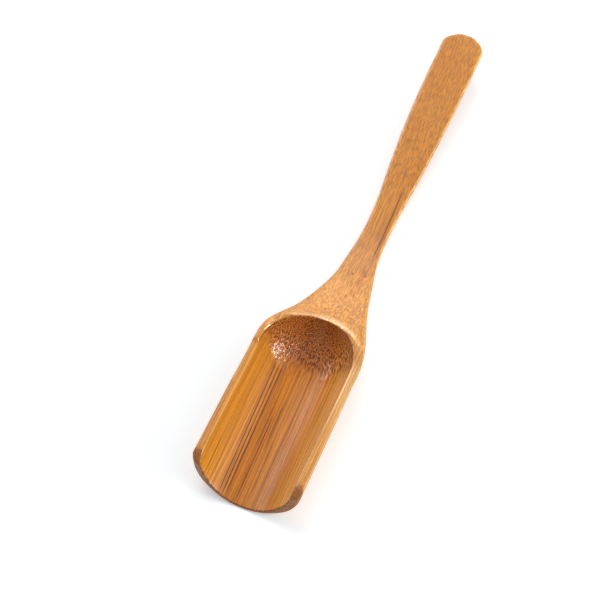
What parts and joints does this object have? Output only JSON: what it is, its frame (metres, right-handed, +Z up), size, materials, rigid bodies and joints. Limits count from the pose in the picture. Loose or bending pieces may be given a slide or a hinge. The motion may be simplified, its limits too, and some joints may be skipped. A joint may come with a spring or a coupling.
{
  "type": "bamboo tea scoop",
  "caption": "Carved bamboo scoop for loose tea leaves: half-round bowl open at its thin tip, a neck that dips towards the table and a flat handle that rises to a rounded end.",
  "frame": {"origin": "on the table under the middle of the scoop: the centre of the bounding box's bottom face", "axes": "+X from the tip of the bowl towards the end of the handle, +Y to the left when looking along +X, +Z up out of the bowl"},
  "size_m": [0.195, 0.0368, 0.016],
  "materials": {
    "bamboo": "caramel brown bamboo under a clear gloss coat"
  },
  "bodies": {
    "root": {"scoop": "bamboo"}
  },
  "joints": []
}
